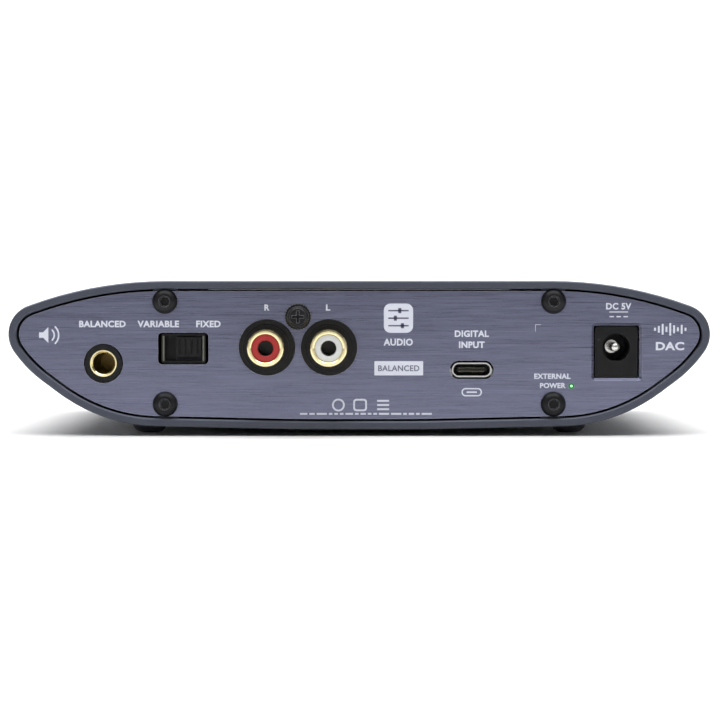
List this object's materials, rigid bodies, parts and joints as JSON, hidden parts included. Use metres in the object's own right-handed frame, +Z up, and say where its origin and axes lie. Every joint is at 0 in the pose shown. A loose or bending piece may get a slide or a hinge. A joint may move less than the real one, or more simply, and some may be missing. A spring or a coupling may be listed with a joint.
{
  "type": "desktop dac",
  "caption": "Boat-shaped aluminium desktop headphone amplifier and converter with front volume knob, buttons and jacks, and a rear panel of sockets.",
  "frame": {"origin": "on the table under the middle of the overall width and depth", "axes": "+Y towards the rear panel with its sockets, -Y towards the knob, +X to the right seen from the front, +Z up"},
  "size_m": [0.158, 0.117, 0.035],
  "materials": {
    "shell_aluminium": "anodised, satin",
    "panel_aluminium": "anodised, brushed",
    "sub_panel_aluminium": "plain sheet",
    "knob_aluminium": "turned, satin",
    "black_steel": "black oxide",
    "tinned_steel": "tin plated",
    "contact_metal": "nickel plated",
    "gold": "gold plated",
    "black_plastic": "moulded",
    "slider_plastic": "moulded",
    "red_plastic": "moulded",
    "white_plastic": "moulded",
    "green_lens": "clear tinted",
    "white_lens": "diffusing",
    "adhesive": "sheet",
    "board": "solder mask",
    "can": "sleeved",
    "film": "dipped",
    "chip": "moulded",
    "relay": "moulded",
    "ceramic": "fired",
    "rubber": "moulded"
  },
  "bodies": {
    "housing": {"audio_capacitors": "can", "clock_crystals": "tinned_steel", "dac_chip": "chip", "dc_centre_pin": "contact_metal", "dc_jack_body": "black_plastic", "dc_spring": "contact_metal", "fascia_adhesive": "adhesive", "feet": "rubber", "film_capacitors": "film", "front_diodes": "white_plastic", "front_fascia": "panel_aluminium", "front_jack4_body": "black_plastic", "front_jack4_bush": "gold", "front_lenses": "white_lens", "front_panel_screws": "black_steel", "front_sub_panel": "sub_panel_aluminium", "jack6_body": "black_plastic", "jack6_bush": "contact_metal", "main_board": "board", "op_amps": "chip", "pot_body": "tinned_steel", "pot_bush": "contact_metal", "pot_nut": "contact_metal", "pot_washer": "contact_metal", "power_capacitors": "can", "power_inductors": "chip", "rca_block": "black_plastic", "rca_centre_contacts": "contact_metal", "rca_insulator_red": "red_plastic", "rca_insulator_white": "white_plastic", "rca_screw": "black_steel", "rca_sleeves": "gold", "rear_jack4_body": "black_plastic", "rear_jack4_bush": "gold", "rear_panel": "panel_aluminium", "rear_panel_screws": "black_steel", "regulators": "chip", "relays": "relay", "shell": "shell_aluminium", "small_passives": "ceramic", "status_diode": "white_plastic", "status_lens": "green_lens", "switch_base": "black_plastic", "switch_cheeks": "tinned_steel", "switch_frame": "black_plastic", "tact_switches": "black_plastic", "usb_controller": "chip", "usb_pads": "gold", "usb_shell": "tinned_steel", "usb_tongue": "black_plastic"},
    "volume_knob_group": {"volume_knob": "knob_aluminium", "knob_pointer": "white_plastic", "knob_set_screw": "black_steel", "pot_shaft": "contact_metal"},
    "power_button_group": {"power_button": "knob_aluminium"},
    "gain_button_group": {"gain_button": "knob_aluminium"},
    "slider_group": {"switch_slider": "slider_plastic"}
  },
  "joints": [
    {"name": "volume_knob_turn", "type": "hinge", "parent": "housing", "child": "volume_knob_group", "pos_m": [0, -0.053, 0.02], "axis": [0, 1, 0], "range_deg": [-150, 150]},
    {"name": "power_button_press", "type": "slide", "parent": "housing", "child": "power_button_group", "axis": [0, 1, 0], "range_m": [0, 0.001], "stiffness_N_per_m": 800},
    {"name": "gain_button_press", "type": "slide", "parent": "housing", "child": "gain_button_group", "axis": [0, 1, 0], "range_m": [0, 0.001], "stiffness_N_per_m": 800},
    {"name": "output_switch_slide", "type": "slide", "parent": "housing", "child": "slider_group", "axis": [1, 0, 0], "range_m": [0, 0.0025]}
  ]
}
